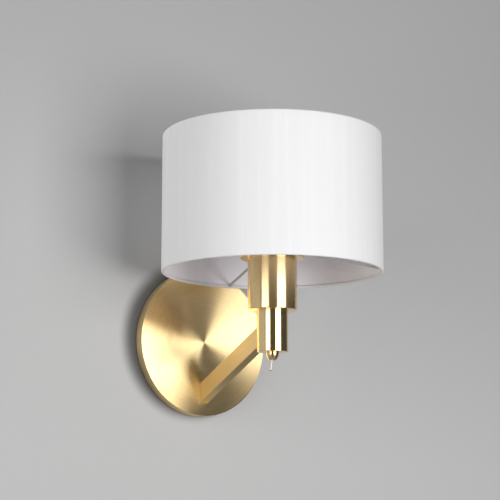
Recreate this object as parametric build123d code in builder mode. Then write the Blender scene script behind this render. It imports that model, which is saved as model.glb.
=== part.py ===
# Fabric shade wall light: a shallow round wall plate, a slanting bar arm, a stepped brass holder
# with a toggle switch under it, and a drum shade of fabric on a wire frame.
#
# Frame: the origin is the centre of the wall plate's back, on the wall. X runs right along the
# wall, Y into the wall and Z up, so the lamp stands out towards -Y. Everything is in millimetres.
from build123d import *
import os
from math import atan, cos, radians, sin

os.makedirs("parts", exist_ok=True)

# ---- Driving dimensions -------------------------------------------------------------------

# Wall plate, a spun brass dish with its open side on the wall
plate_radius = 62.5
plate_depth = 8.6
plate_wall = 1.2
plate_edge_round = 0.5
side_screw_angle = 120.0  # 11 o'clock; the second screw is opposite, at 5 o'clock

# Wall bracket, two crossed steel bars under the plate
bracket_thickness = 1.5
bracket_bar_width = 18.0
bracket_bar_length = 80.0
wall_slot_spacing = 60.0
wall_slot_length = 10.0
wall_slot_width = 5.0
tab_width = 12.0
tab_height = 6.4
tab_gap = 0.8  # from the tab to the inside of the plate's rim

# Small fasteners
thread_clearance = 0.05
grub_radius = 1.5
grub_length = 5.0
grub_recess = 0.4
grub_socket_flats = 1.5
earth_screw_x = -17.0
earth_screw_radius = 2.0
earth_head_radius = 3.6
earth_head_height = 2.0
earth_tag_thickness = 0.8
earth_tag_radius = 3.8
earth_barrel_radius = 1.3
earth_barrel_length = 6.0
driver_slot_width = 1.0
driver_slot_depth = 0.9

# Terminal block inside the plate
block_x = -26.5
block_z = -30.0
block_width = 13.0
block_length = 22.0
block_height = 6.4
pole_pitch = 7.0
block_screw_radius = 1.8
block_screw_depth = 2.6

# Arm, a rectangular brass tube that climbs from the plate to the switch housing
arm_width = 8.0
arm_height = 15.0
arm_wall = 1.2
arm_edge_round = 0.35
arm_foot_margin = 19.1  # from the plate's lower edge up to the arm's middle line
arm_head_z = 4.1  # where the arm's middle line meets the lamp's axis
arm_reach = 100.0  # from the plate's face to the lamp's axis
arm_plug_length = 8.0
stud_radius = 4.0
stud_bore_radius = 2.3
stud_tail = 0.3
washer_radius = 8.0
washer_thickness = 0.8
nut_flats = 12.0
nut_thickness = 2.5

# Switch housing, the lower and narrower cylinder
housing_radius = 12.6
housing_wall = 1.2
housing_floor = 1.5
housing_bottom_z = -16.6
housing_edge_round = 0.3
housing_cap_thickness = 3.5
cap_gap = 0.05

# Lamp cup, the upper and wider cylinder, with its brim
cup_bottom_z = 17.1
cup_radius = 20.0
cup_wall = 1.2
cup_floor = 1.5
cup_edge_round = 0.3
brim_z = 59.6  # underside of the brim, on the cup's shoulder
brim_radius = 26.0
brim_thickness = 1.2
collar_radius = 19.6  # the threaded collar above the shoulder
collar_height = 12.4

# Hollow nipple that clamps the housing's cap, the cup and the lampholder together
nipple_radius = 5.0
nipple_bore_radius = 3.0
nipple_tail = 0.5
locknut_flats = 14.0
locknut_thickness = 3.0

# Lampholder with a 27 mm screw socket
holder_gap = 0.5  # between the holder and the inside of the cup
holder_base_floor = 5.4
holder_chamber_height = 9.0
holder_chamber_radius = 15.0
holder_partition = 4.0
holder_top_stand = 0.8  # how far the holder's lip stands above the cup
socket_radius = 13.3
socket_rise = 4.0  # from the socket's floor to its screw shell
socket_length = 19.0
shell_thickness = 0.45
mouth_radius = 15.4
contact_width = 5.0
contact_thickness = 0.5
contact_rise = 3.2
holder_terminal_x = 8.0
holder_terminal_size = 5.0

# Toggle switch
switch_length = 13.0
switch_width = 8.0
switch_height = 9.5
switch_floor_gap = 2.5  # nut and toothed washer between the housing's floor and the switch
switch_nut_flats = 9.0
blade_height = 5.0
blade_width = 2.0
blade_thickness = 0.8
blade_offset = 3.5
bushing_radius = 3.0
bushing_length = 8.6
pivot_z = -18.0
ball_radius = 2.0
ball_clearance = 0.05
ball_seat_radius = 1.6
bushing_mouth_radius = 2.4
dome_radius = 5.3
dome_length = 6.3
dome_tip_radius = 2.8
dome_straight = 0.3
dome_mouth_radius = 2.35
dome_mouth_thickness = 1.4
lever_radius = 0.75
lever_length = 13.9  # from the pivot to the tip
lever_tail = 4.2
lever_lean = 12.0  # at rest the tip leans this far towards the wall

# Drum shade
shade_radius = 90.0
shade_bottom_z = 47.5
shade_height = 113.5
fabric_thickness = 0.35
liner_thickness = 0.4
liner_gap = 0.15
ring_wire_radius = 0.7
hem_gap = 0.25
hem_turn = 300.0  # how far the fabric rolls round each ring's wire
spider_wire_radius = 1.1
spider_arms = 3
spider_turn = 11.5  # of the first arm, from the wall side towards +X
spider_ring_rise = 1.2  # how far above the ring's wire an arm is welded
notch_clearance = 0.25
hub_inner_radius = 20.6
hub_outer_radius = 25.5
hub_thickness = 2.0
hub_seat_gap = 0.1
weld_depth = 0.3

# Shade ring that screws down on the hub
shade_ring_radius = 23.2
shade_ring_flange = 1.5
shade_ring_grip_radius = 22.4
shade_ring_height = 6.5
shade_ring_running_gap = 0.1
grip_flutes = 24
grip_flute_radius = 0.8

# Leads
lead_radius = 0.8
lead_offset = 1.0  # of the two leads in the arm, either side of its middle
lead_bend = 1.9
lead_soft_bend = 3.0

# ---- Places that follow from them ---------------------------------------------------------

lamp_y = -(plate_depth + arm_reach)
plate_inside_y = -(plate_depth - plate_wall)
plate_inner_radius = plate_radius - plate_wall
side_screw_y = -plate_depth / 2
arm_foot_z = arm_foot_margin - plate_radius
arm_slope = (arm_head_z - arm_foot_z) / arm_reach
arm_angle = atan(arm_slope)
arm_direction = Vector(0, -cos(arm_angle), sin(arm_angle))
arm_cut_height = arm_height / cos(arm_angle)
duct_cut_height = (arm_height - 2 * arm_wall) / cos(arm_angle)
housing_inner_radius = housing_radius - housing_wall
cap_bottom_z = cup_bottom_z - housing_cap_thickness
cup_inner_radius = cup_radius - cup_wall
cup_floor_top_z = cup_bottom_z + cup_floor
cup_top_z = brim_z + collar_height
brim_top_z = brim_z + brim_thickness
holder_radius = cup_inner_radius - holder_gap
holder_base_top_z = cup_floor_top_z + holder_base_floor + holder_chamber_height
chamber_bottom_z = cup_floor_top_z + holder_base_floor
partition_top_z = holder_base_top_z + holder_partition
shell_bottom_z = partition_top_z + socket_rise
shell_top_z = shell_bottom_z + socket_length
holder_top_z = cup_top_z + holder_top_stand
switch_bottom_z = housing_bottom_z + housing_floor + switch_floor_gap
switch_top_z = switch_bottom_z + switch_height
dome_tip_z = housing_bottom_z - dome_length
ring_offset = fabric_thickness + ring_wire_radius + hem_gap
ring_radius = shade_radius - ring_offset
bottom_ring_z = shade_bottom_z + ring_offset
top_ring_z = shade_bottom_z + shade_height - ring_offset
hub_bottom_z = brim_top_z + hub_seat_gap
hub_top_z = hub_bottom_z + hub_thickness

lamp_axis = Axis((0, lamp_y, 0), (0, 0, 1))
profile_plane = Plane(origin=(0, lamp_y, 0), x_dir=(1, 0, 0), z_dir=(0, -1, 0))


def arm_height_at(distance_from_plate_face):
    """Height of the arm's middle line at a distance out from the plate's face."""
    return arm_foot_z + distance_from_plate_face * arm_slope


def level(z):
    """Horizontal plane at height z, centred on the lamp's axis."""
    return Plane(origin=(0, lamp_y, z), x_dir=(1, 0, 0), z_dir=(0, 0, 1))


side_screw_planes = [
    Plane(
        origin=(0, side_screw_y, 0),
        x_dir=(0, 1, 0),
        z_dir=(cos(radians(angle)), 0, sin(radians(angle))),
    )
    for angle in (side_screw_angle, side_screw_angle + 180)
]

# ---- Wall plate and bracket ---------------------------------------------------------------

with BuildPart() as backplate:
    with BuildSketch(Plane.XZ):
        Circle(plate_radius)
    extrude(amount=plate_depth)
    fillet(backplate.edges().sort_by(Axis.Y)[0], radius=plate_edge_round)
    offset(amount=-plate_wall, openings=backplate.faces().sort_by(Axis.Y)[-1])
    with BuildSketch(Plane.XZ.offset(plate_depth)):
        with Locations((0, arm_foot_z)):
            Circle(stud_radius + thread_clearance)
    extrude(amount=-plate_depth, mode=Mode.SUBTRACT)
    with BuildSketch(*side_screw_planes):
        Circle(grub_radius + thread_clearance)
    extrude(amount=plate_radius, mode=Mode.SUBTRACT)
backplate.part.label = "backplate"
export_step(backplate.part, "parts/backplate.step")

tab_outer_radius = plate_inner_radius - tab_gap
with BuildPart() as wall_bracket:
    with BuildSketch(Plane.XZ):
        SlotOverall(bracket_bar_length, bracket_bar_width)
        Rectangle(2 * tab_outer_radius, tab_width, rotation=side_screw_angle)
        with GridLocations(wall_slot_spacing, 0, 2, 1):
            SlotOverall(wall_slot_length, wall_slot_width, mode=Mode.SUBTRACT)
        with Locations((earth_screw_x, 0)):
            Circle(earth_screw_radius + thread_clearance, mode=Mode.SUBTRACT)
    extrude(amount=bracket_thickness)
    with BuildSketch(Plane.XZ):
        with PolarLocations(tab_outer_radius - bracket_thickness / 2, 2, start_angle=side_screw_angle):
            Rectangle(bracket_thickness, tab_width)
    extrude(amount=tab_height)
    with BuildSketch(*side_screw_planes):
        Circle(grub_radius + thread_clearance)
    extrude(amount=plate_radius, mode=Mode.SUBTRACT)
wall_bracket.part.label = "wall_bracket"
export_step(wall_bracket.part, "parts/wall_bracket.step")

grub_start = plate_radius - grub_recess - grub_length
with BuildPart() as plate_grub_screws:
    with BuildSketch(*[plane.offset(grub_start) for plane in side_screw_planes]):
        Circle(grub_radius)
    extrude(amount=grub_length)
    with BuildSketch(*[plane.offset(grub_start + grub_length) for plane in side_screw_planes]):
        RegularPolygon(grub_socket_flats / 2, 6, major_radius=False)
    extrude(amount=-grub_length / 3, mode=Mode.SUBTRACT)
plate_grub_screws.part.label = "plate_grub_screws"
export_step(plate_grub_screws.part, "parts/plate_grub_screws.step")

earth_tag_plane = Plane.XZ.offset(bracket_thickness)
earth_barrel_y = -(bracket_thickness + earth_barrel_radius)
earth_barrel_end_z = -(earth_tag_radius + earth_barrel_length)
with BuildPart() as earth_tag:
    with BuildSketch(earth_tag_plane):
        with Locations((earth_screw_x, 0)):
            Circle(earth_tag_radius)
            with Locations((0, -earth_tag_radius)):
                Rectangle(2 * earth_barrel_radius, 2 * earth_barrel_radius)
            Circle(earth_screw_radius + thread_clearance, mode=Mode.SUBTRACT)
    extrude(amount=earth_tag_thickness)
    with BuildSketch(Plane(origin=(earth_screw_x, earth_barrel_y, earth_barrel_end_z), z_dir=(0, 0, 1))):
        Circle(earth_barrel_radius)
    extrude(amount=earth_barrel_length)
earth_tag.part.label = "earth_tag"
export_step(earth_tag.part, "parts/earth_tag.step")

earth_head_plane = earth_tag_plane.offset(earth_tag_thickness)
with BuildPart() as earth_screw:
    with BuildSketch(Plane.XZ):
        with Locations((earth_screw_x, 0)):
            Circle(earth_screw_radius)
    extrude(amount=bracket_thickness + earth_tag_thickness)
    with BuildSketch(earth_head_plane):
        with Locations((earth_screw_x, 0)):
            Circle(earth_head_radius)
    extrude(amount=earth_head_height)
    with BuildSketch(earth_head_plane.offset(earth_head_height)):
        with Locations((earth_screw_x, 0)):
            Rectangle(2 * earth_head_radius, driver_slot_width)
    extrude(amount=-driver_slot_depth, mode=Mode.SUBTRACT)
earth_screw.part.label = "earth_screw"
export_step(earth_screw.part, "parts/earth_screw.step")

# ---- Terminal block -----------------------------------------------------------------------

block_plane = Plane(origin=(block_x, plate_inside_y, block_z), x_dir=(1, 0, 0), z_dir=(0, 1, 0))
block_back = block_plane.offset(block_height)
block_side_x = block_x + block_width / 2
pole_y = plate_inside_y + block_height / 2
pole_heights = [block_z + step * pole_pitch for step in (-1, 0, 1)]
with BuildPart() as terminal_block:
    with BuildSketch(block_plane):
        RectangleRounded(block_width, block_length, 1.0)
    extrude(amount=block_height)
    with BuildSketch(block_back):
        with GridLocations(block_width / 2, pole_pitch, 2, 3):
            Circle(block_screw_radius + thread_clearance)
    extrude(amount=-block_screw_depth, mode=Mode.SUBTRACT)
    for between in (-pole_pitch / 2, pole_pitch / 2):
        with BuildSketch(block_back):
            with Locations((0, between)):
                Rectangle(block_width, 0.8)
        extrude(amount=-block_screw_depth / 2, mode=Mode.SUBTRACT)
terminal_block.part.label = "terminal_block"
export_step(terminal_block.part, "parts/terminal_block.step")

with BuildPart() as block_screws:
    with BuildSketch(block_back.offset(-0.6)):
        with GridLocations(block_width / 2, pole_pitch, 2, 3):
            Circle(block_screw_radius)
    extrude(amount=-(block_screw_depth - 0.6))
    with BuildSketch(block_back.offset(-0.6)):
        with GridLocations(block_width / 2, pole_pitch, 2, 3):
            Rectangle(2 * block_screw_radius, 0.6)
    extrude(amount=-0.7, mode=Mode.SUBTRACT)
block_screws.part.label = "block_screws"
export_step(block_screws.part, "parts/block_screws.step")

# ---- Arm ----------------------------------------------------------------------------------


def bar_corners(cut_height, reach):
    """Corners of the slanting bar in side view, from the plate's face out to a reach."""
    return [
        (-plate_depth, arm_height_at(0) - cut_height / 2),
        (-plate_depth - reach, arm_height_at(reach) - cut_height / 2),
        (-plate_depth - reach, arm_height_at(reach) + cut_height / 2),
        (-plate_depth, arm_height_at(0) + cut_height / 2),
    ]


duct_width = arm_width - 2 * arm_wall
with BuildPart() as arm:
    with BuildSketch(Plane.YZ.offset(-arm_width / 2)):
        Polygon(*bar_corners(arm_cut_height, arm_reach), align=None)
    extrude(amount=arm_width)
    fillet(arm.edges().filter_by(Axis((0, 0, 0), arm_direction)), radius=arm_edge_round)
    with BuildSketch(Plane.YZ.offset(-duct_width / 2)):
        Polygon(*bar_corners(duct_cut_height, arm_reach), align=None)
    extrude(amount=duct_width, mode=Mode.SUBTRACT)
    with BuildSketch(level(housing_bottom_z)):
        Circle(housing_radius)
    extrude(amount=cup_bottom_z - housing_bottom_z, mode=Mode.SUBTRACT)
arm.part.label = "arm"
export_step(arm.part, "parts/arm.step")

stud_length = plate_wall + washer_thickness + nut_thickness + stud_tail
stud_end_y = -plate_depth + stud_length
with BuildPart() as arm_stud:
    with BuildSketch(Plane.YZ.offset(-duct_width / 2)):
        Polygon(*bar_corners(duct_cut_height, arm_plug_length), align=None)
    extrude(amount=duct_width)
    with BuildSketch(Plane.XZ.offset(plate_depth)):
        with Locations((0, arm_foot_z)):
            Circle(stud_radius)
    extrude(amount=-stud_length)
    with BuildSketch(Plane.XZ.offset(-stud_end_y)):
        with Locations((0, arm_foot_z)):
            Circle(stud_bore_radius)
    extrude(amount=stud_length + arm_plug_length, mode=Mode.SUBTRACT)
arm_stud.part.label = "arm_stud"
export_step(arm_stud.part, "parts/arm_stud.step")

washer_plane = Plane.XZ.offset(plate_depth - plate_wall)
with BuildPart() as arm_washer:
    with BuildSketch(washer_plane):
        with Locations((0, arm_foot_z)):
            Circle(washer_radius)
            Circle(stud_radius + thread_clearance, mode=Mode.SUBTRACT)
    extrude(amount=-washer_thickness)
arm_washer.part.label = "arm_washer"
export_step(arm_washer.part, "parts/arm_washer.step")

with BuildPart() as arm_nut:
    with BuildSketch(washer_plane.offset(-washer_thickness)):
        with Locations((0, arm_foot_z)):
            RegularPolygon(nut_flats / 2, 6, major_radius=False)
            Circle(stud_radius + thread_clearance, mode=Mode.SUBTRACT)
    extrude(amount=-nut_thickness)
arm_nut.part.label = "arm_nut"
export_step(arm_nut.part, "parts/arm_nut.step")

# ---- Switch housing and toggle switch -----------------------------------------------------

with BuildPart() as switch_housing:
    with BuildSketch(level(housing_bottom_z)):
        Circle(housing_radius)
    extrude(amount=cup_bottom_z - housing_bottom_z)
    fillet(switch_housing.edges().sort_by(Axis.Z)[0], radius=housing_edge_round)
    with BuildSketch(level(housing_bottom_z + housing_floor)):
        Circle(housing_inner_radius)
    extrude(amount=cup_bottom_z - housing_bottom_z, mode=Mode.SUBTRACT)
    with BuildSketch(level(housing_bottom_z)):
        Circle(bushing_radius + thread_clearance)
    extrude(amount=housing_floor, mode=Mode.SUBTRACT)
    with BuildSketch(Plane(origin=(0, lamp_y, arm_head_z), x_dir=(1, 0, 0), z_dir=-arm_direction)):
        Circle(duct_width / 2)
    extrude(amount=2 * housing_radius, mode=Mode.SUBTRACT)
switch_housing.part.label = "switch_housing"
export_step(switch_housing.part, "parts/switch_housing.step")

with BuildPart() as housing_cap:
    with BuildSketch(level(cap_bottom_z)):
        Circle(housing_inner_radius - cap_gap)
        Circle(nipple_radius + thread_clearance, mode=Mode.SUBTRACT)
    extrude(amount=housing_cap_thickness)
housing_cap.part.label = "housing_cap"
export_step(housing_cap.part, "parts/housing_cap.step")

with BuildPart() as switch_body:
    with BuildSketch(level(switch_bottom_z)):
        RectangleRounded(switch_width, switch_length, 0.8)
    extrude(amount=switch_height)
switch_body.part.label = "switch_body"
export_step(switch_body.part, "parts/switch_body.step")

with BuildPart() as switch_blades:
    with BuildSketch(level(switch_top_z)):
        with Locations((-lead_offset, -blade_offset), (-lead_offset, blade_offset)):
            Rectangle(blade_width, blade_thickness)
    extrude(amount=blade_height)
switch_blades.part.label = "switch_blades"
export_step(switch_blades.part, "parts/switch_blades.step")

bushing_bottom_z = switch_bottom_z - bushing_length
ball_bore_radius = ball_radius + ball_clearance
seat_drop = (ball_bore_radius**2 - ball_seat_radius**2) ** 0.5
with BuildPart() as switch_bushing:
    with BuildSketch(profile_plane):
        with BuildLine():
            bore_wall = Line((ball_bore_radius, switch_bottom_z), (ball_bore_radius, pivot_z))
            ball_seat = RadiusArc(
                bore_wall @ 1, (ball_seat_radius, pivot_z - seat_drop), ball_bore_radius
            )
            Polyline(
                ball_seat @ 1,
                (bushing_mouth_radius, bushing_bottom_z),
                (bushing_radius, bushing_bottom_z),
                (bushing_radius, switch_bottom_z),
                bore_wall @ 0,
            )
        make_face()
    revolve(axis=lamp_axis)
switch_bushing.part.label = "switch_bushing"
export_step(switch_bushing.part, "parts/switch_bushing.step")

with BuildPart() as switch_nut:
    with BuildSketch(level(housing_bottom_z + housing_floor)):
        RegularPolygon(switch_nut_flats / 2, 6, major_radius=False)
        Circle(bushing_radius + thread_clearance, mode=Mode.SUBTRACT)
    extrude(amount=switch_floor_gap)
switch_nut.part.label = "switch_nut"
export_step(switch_nut.part, "parts/switch_nut.step")

# The dome nut's outside is an arc that starts upright, so its centre is level with the start
dome_arc_height = dome_length - dome_straight
dome_inset = dome_radius - dome_tip_radius
dome_arc_radius = (dome_arc_height**2 + dome_inset**2) / (2 * dome_inset)
with BuildPart() as dome_nut:
    with BuildSketch(profile_plane):
        with BuildLine():
            dome_side = Line((dome_radius, housing_bottom_z), (dome_radius, housing_bottom_z - dome_straight))
            dome_curve = RadiusArc(dome_side @ 1, (dome_tip_radius, dome_tip_z), dome_arc_radius)
            Polyline(
                dome_curve @ 1,
                (dome_mouth_radius, dome_tip_z),
                (dome_mouth_radius, dome_tip_z + dome_mouth_thickness),
                (bushing_radius + thread_clearance, dome_tip_z + dome_mouth_thickness),
                (bushing_radius + thread_clearance, housing_bottom_z),
                dome_side @ 0,
            )
        make_face()
    revolve(axis=lamp_axis)
dome_nut.part.label = "dome_nut"
export_step(dome_nut.part, "parts/dome_nut.step")

# The lever is a rod through a ball that turns in the bushing's seat
lever_plane = Plane(
    origin=(0, lamp_y, pivot_z),
    x_dir=(1, 0, 0),
    z_dir=(0, sin(radians(lever_lean)), -cos(radians(lever_lean))),
)
with BuildPart() as toggle_lever:
    with Locations(lever_plane):
        Sphere(ball_radius)
    with BuildSketch(lever_plane.offset(-lever_tail)):
        Circle(lever_radius)
    extrude(amount=lever_tail + lever_length)
    fillet(toggle_lever.edges().sort_by(Axis.Z)[0], radius=lever_radius * 0.4)
toggle_lever.part.label = "toggle_lever"
export_step(toggle_lever.part, "parts/toggle_lever.step")

# ---- Lamp cup, brim and lampholder --------------------------------------------------------

with BuildPart() as lamp_cup:
    with BuildSketch(level(cup_bottom_z)):
        Circle(cup_radius)
    extrude(amount=brim_z - cup_bottom_z)
    fillet(lamp_cup.edges().sort_by(Axis.Z)[0], radius=cup_edge_round)
    with BuildSketch(level(brim_z)):
        Circle(collar_radius)
    extrude(amount=collar_height)
    chamfer(lamp_cup.edges().sort_by(Axis.Z)[-1], length=(cup_radius - cup_inner_radius) / 4)
    with BuildSketch(level(cup_floor_top_z)):
        Circle(cup_inner_radius)
    extrude(amount=cup_top_z - cup_floor_top_z, mode=Mode.SUBTRACT)
    with BuildSketch(level(cup_bottom_z)):
        Circle(nipple_radius + thread_clearance)
    extrude(amount=cup_floor, mode=Mode.SUBTRACT)
lamp_cup.part.label = "lamp_cup"
export_step(lamp_cup.part, "parts/lamp_cup.step")

with BuildPart() as brim:
    with BuildSketch(level(brim_z)):
        Circle(brim_radius)
        Circle(collar_radius + thread_clearance, mode=Mode.SUBTRACT)
    extrude(amount=brim_thickness)
    fillet(brim.edges().group_by(SortBy.LENGTH)[-1], radius=brim_thickness * 0.3)
brim.part.label = "brim"
export_step(brim.part, "parts/brim.step")

nipple_bottom_z = cap_bottom_z - locknut_thickness - nipple_tail
with BuildPart() as nipple:
    with BuildSketch(level(nipple_bottom_z)):
        Circle(nipple_radius)
        Circle(nipple_bore_radius, mode=Mode.SUBTRACT)
    extrude(amount=chamber_bottom_z - nipple_bottom_z)
nipple.part.label = "nipple"
export_step(nipple.part, "parts/nipple.step")

with BuildPart() as nipple_locknut:
    with BuildSketch(level(cap_bottom_z - locknut_thickness)):
        RegularPolygon(locknut_flats / 2, 6, major_radius=False)
        Circle(nipple_radius + thread_clearance, mode=Mode.SUBTRACT)
    extrude(amount=locknut_thickness)
nipple_locknut.part.label = "nipple_locknut"
export_step(nipple_locknut.part, "parts/nipple_locknut.step")

with BuildPart() as lampholder_base:
    with BuildSketch(level(cup_floor_top_z)):
        Circle(holder_radius)
        Circle(nipple_radius + thread_clearance, mode=Mode.SUBTRACT)
    extrude(amount=holder_base_floor)
    with BuildSketch(level(chamber_bottom_z)):
        Circle(holder_radius)
        Circle(holder_chamber_radius, mode=Mode.SUBTRACT)
    extrude(amount=holder_chamber_height)
lampholder_base.part.label = "lampholder_base"
export_step(lampholder_base.part, "parts/lampholder_base.step")

shell_outer_radius = socket_radius + shell_thickness
with BuildPart() as lampholder_body:
    with BuildSketch(profile_plane):
        with BuildLine():
            Polyline(
                (0, holder_base_top_z),
                (holder_radius, holder_base_top_z),
                (holder_radius, holder_top_z),
                (mouth_radius, holder_top_z),
                (mouth_radius, shell_top_z + 1.0),
                (shell_outer_radius, shell_top_z),
                (shell_outer_radius, partition_top_z),
                (0, partition_top_z),
                close=True,
            )
        make_face()
    revolve(axis=lamp_axis)
    fillet(lampholder_body.edges().group_by(Axis.Z)[-1], radius=0.6)
lampholder_body.part.label = "lampholder_body"
export_step(lampholder_body.part, "parts/lampholder_body.step")

with BuildPart() as screw_shell:
    with BuildSketch(level(shell_bottom_z)):
        Circle(shell_outer_radius)
        Circle(socket_radius, mode=Mode.SUBTRACT)
    extrude(amount=socket_length)
screw_shell.part.label = "screw_shell"
export_step(screw_shell.part, "parts/screw_shell.step")

# The centre contact is a bent spring strip that rises to the socket's middle
with BuildPart() as centre_contact:
    with BuildSketch(profile_plane):
        with BuildLine():
            strip = Polyline(
                (-socket_radius * 0.7, partition_top_z),
                (-socket_radius * 0.35, partition_top_z),
                (-1.5, partition_top_z + contact_rise),
                (2.5, partition_top_z + contact_rise),
                (4.0, partition_top_z + contact_rise * 0.6),
            )
            offset(strip, amount=contact_thickness, side=Side.LEFT, kind=Kind.INTERSECTION)
        make_face()
    extrude(amount=contact_width / 2, both=True)
centre_contact.part.label = "centre_contact"
export_step(centre_contact.part, "parts/centre_contact.step")

with BuildPart() as holder_terminals:
    with BuildSketch(level(holder_base_top_z - holder_terminal_size)):
        with GridLocations(2 * holder_terminal_x, 0, 2, 1):
            RectangleRounded(holder_terminal_size, holder_terminal_size, 0.5)
    extrude(amount=holder_terminal_size)
holder_terminals.part.label = "holder_terminals"
export_step(holder_terminals.part, "parts/holder_terminals.step")

# ---- Shade ring, frame and drum -----------------------------------------------------------

with BuildPart() as shade_ring:
    with BuildSketch(level(hub_top_z)):
        Circle(shade_ring_radius)
    extrude(amount=shade_ring_flange)
    with BuildSketch(level(hub_top_z + shade_ring_flange)):
        Circle(shade_ring_grip_radius)
        with PolarLocations(shade_ring_grip_radius, grip_flutes):
            Circle(grip_flute_radius, mode=Mode.SUBTRACT)
    extrude(amount=shade_ring_height - shade_ring_flange)
    with BuildSketch(level(hub_top_z)):
        Circle(collar_radius + shade_ring_running_gap)
    extrude(amount=shade_ring_height, mode=Mode.SUBTRACT)
shade_ring.part.label = "shade_ring"
export_step(shade_ring.part, "parts/shade_ring.step")

# An arm of the frame runs from the hub's rim down to the bottom ring
arm_hub_radius = hub_outer_radius - 1.0
arm_hub_z = hub_top_z + spider_wire_radius - weld_depth
arm_ring_z = bottom_ring_z + spider_ring_rise
arm_run = Vector(ring_radius - arm_hub_radius, 0, arm_ring_z - arm_hub_z)


def spider_planes():
    """A plane across each wire arm at its hub end, looking out along the wire."""
    planes = []
    for number in range(spider_arms):
        turn = Rotation(0, 0, 90 - spider_turn - number * 360 / spider_arms)
        start = Pos(0, lamp_y, 0) * turn * Location((arm_hub_radius, 0, arm_hub_z))
        along = Vertex(*arm_run).moved(turn).center()
        planes.append(Plane(origin=start.position, z_dir=along))
    return planes


with BuildPart() as shade_frame:
    with BuildSketch(level(hub_bottom_z)):
        Circle(hub_outer_radius)
        Circle(hub_inner_radius, mode=Mode.SUBTRACT)
    extrude(amount=hub_thickness)
    with BuildSketch(*spider_planes()):
        Circle(spider_wire_radius)
    extrude(amount=arm_run.length)
    with BuildSketch(profile_plane):
        with Locations((ring_radius, bottom_ring_z)):
            Circle(ring_wire_radius)
    revolve(axis=lamp_axis)
shade_frame.part.label = "shade_frame"
export_step(shade_frame.part, "parts/shade_frame.step")

with BuildPart() as top_ring:
    with BuildSketch(profile_plane):
        with Locations((ring_radius, top_ring_z)):
            Circle(ring_wire_radius)
    revolve(axis=lamp_axis)
top_ring.part.label = "top_ring"
export_step(top_ring.part, "parts/top_ring.step")

# The fabric is one sheet that rolls round a wire ring at each end, with a notch in the lower roll
# for each arm of the frame
fabric_inside = ring_offset - fabric_thickness
hem_end = (cos(radians(hem_turn)), sin(radians(hem_turn)))
with BuildPart() as shade_fabric:
    with BuildSketch(profile_plane):
        with BuildLine():
            Line((shade_radius, bottom_ring_z), (shade_radius, top_ring_z))
            Line((ring_radius + fabric_inside, bottom_ring_z), (ring_radius + fabric_inside, top_ring_z))
            for ring_z, way in ((top_ring_z, 1), (bottom_ring_z, -1)):
                for roll_radius in (ring_offset, fabric_inside):
                    CenterArc((ring_radius, ring_z), roll_radius, 0, way * hem_turn)
                Line(
                    (ring_radius + ring_offset * hem_end[0], ring_z + way * ring_offset * hem_end[1]),
                    (ring_radius + fabric_inside * hem_end[0], ring_z + way * fabric_inside * hem_end[1]),
                )
        make_face()
    revolve(axis=lamp_axis)
    with BuildSketch(*[plane.offset(arm_run.length + notch_clearance) for plane in spider_planes()]):
        Circle(spider_wire_radius + notch_clearance)
    extrude(amount=-4 * ring_offset, mode=Mode.SUBTRACT)
shade_fabric.part.label = "shade_fabric"
export_step(shade_fabric.part, "parts/shade_fabric.step")

liner_radius = shade_radius - fabric_thickness - liner_gap
liner_margin = ring_offset + 0.3
with BuildPart() as shade_liner:
    with BuildSketch(level(bottom_ring_z + liner_margin)):
        Circle(liner_radius)
        Circle(liner_radius - liner_thickness, mode=Mode.SUBTRACT)
    extrude(amount=top_ring_z - bottom_ring_z - 2 * liner_margin)
shade_liner.part.label = "shade_liner"
export_step(shade_liner.part, "parts/shade_liner.step")

# ---- Leads --------------------------------------------------------------------------------


def lead_along(points, bends):
    """An insulated lead: a round section swept along straight runs joined by tangent arcs."""
    with BuildPart(mode=Mode.PRIVATE) as lead:
        with BuildLine() as route:
            FilletPolyline(*points, radius=bends)
        with BuildSketch(Plane(origin=route.line @ 0, z_dir=route.line % 0)):
            Circle(lead_radius)
        sweep(path=route.line)
    return lead.part


# Both leads in the arm leave the block, turn into the stud, run up the duct and enter the housing
lead_wall_y = stud_end_y + lead_bend
plug_clear = arm_plug_length + 1.5
duct_middle = arm_reach / 2


def arm_lead_start(x, pole_z, turn_x):
    """Route points from a pole of the block to the middle of the arm's duct."""
    return [
        (block_side_x, pole_y, pole_z),
        (block_side_x + 4.5, pole_y, pole_z),
        (turn_x, lead_wall_y, pole_z),
        (x, lead_wall_y, arm_foot_z),
        (x, -plate_depth - plug_clear, arm_foot_z),
        (x, -plate_depth - duct_middle, arm_height_at(duct_middle)),
    ]


start_bends = [lead_soft_bend, lead_soft_bend, lead_bend, 2 * lead_soft_bend]
blade_face_y = lamp_y + blade_offset + blade_thickness / 2
blade_z = switch_top_z + blade_height * 0.75
blade_reach = (blade_z - arm_foot_z) / arm_slope  # where the lead's line is level with the blade

with BuildPart() as live_lead:
    add(
        lead_along(
            arm_lead_start(-lead_offset, pole_heights[0], -11.0)
            + [
                (-lead_offset, -plate_depth - blade_reach, blade_z),
                (-lead_offset, blade_face_y, blade_z),
            ],
            start_bends + [8 * lead_soft_bend, lead_soft_bend],
        )
    )
live_lead.part.label = "live_lead"
export_step(live_lead.part, "parts/live_lead.step")

turn_z = chamber_bottom_z + 2 * lead_radius
terminal_under_z = holder_base_top_z - holder_terminal_size
with BuildPart() as neutral_lead:
    add(
        lead_along(
            arm_lead_start(lead_offset, pole_heights[1], -6.0)
            + [
                (lead_offset, lamp_y, arm_head_z),
                (lead_offset, lamp_y, turn_z),
                (holder_terminal_x, lamp_y, turn_z),
                (holder_terminal_x, lamp_y, terminal_under_z),
            ],
            start_bends + [8 * lead_soft_bend, lead_soft_bend, 1.5, 1.5],
        )
    )
neutral_lead.part.label = "neutral_lead"
export_step(neutral_lead.part, "parts/neutral_lead.step")

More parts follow.
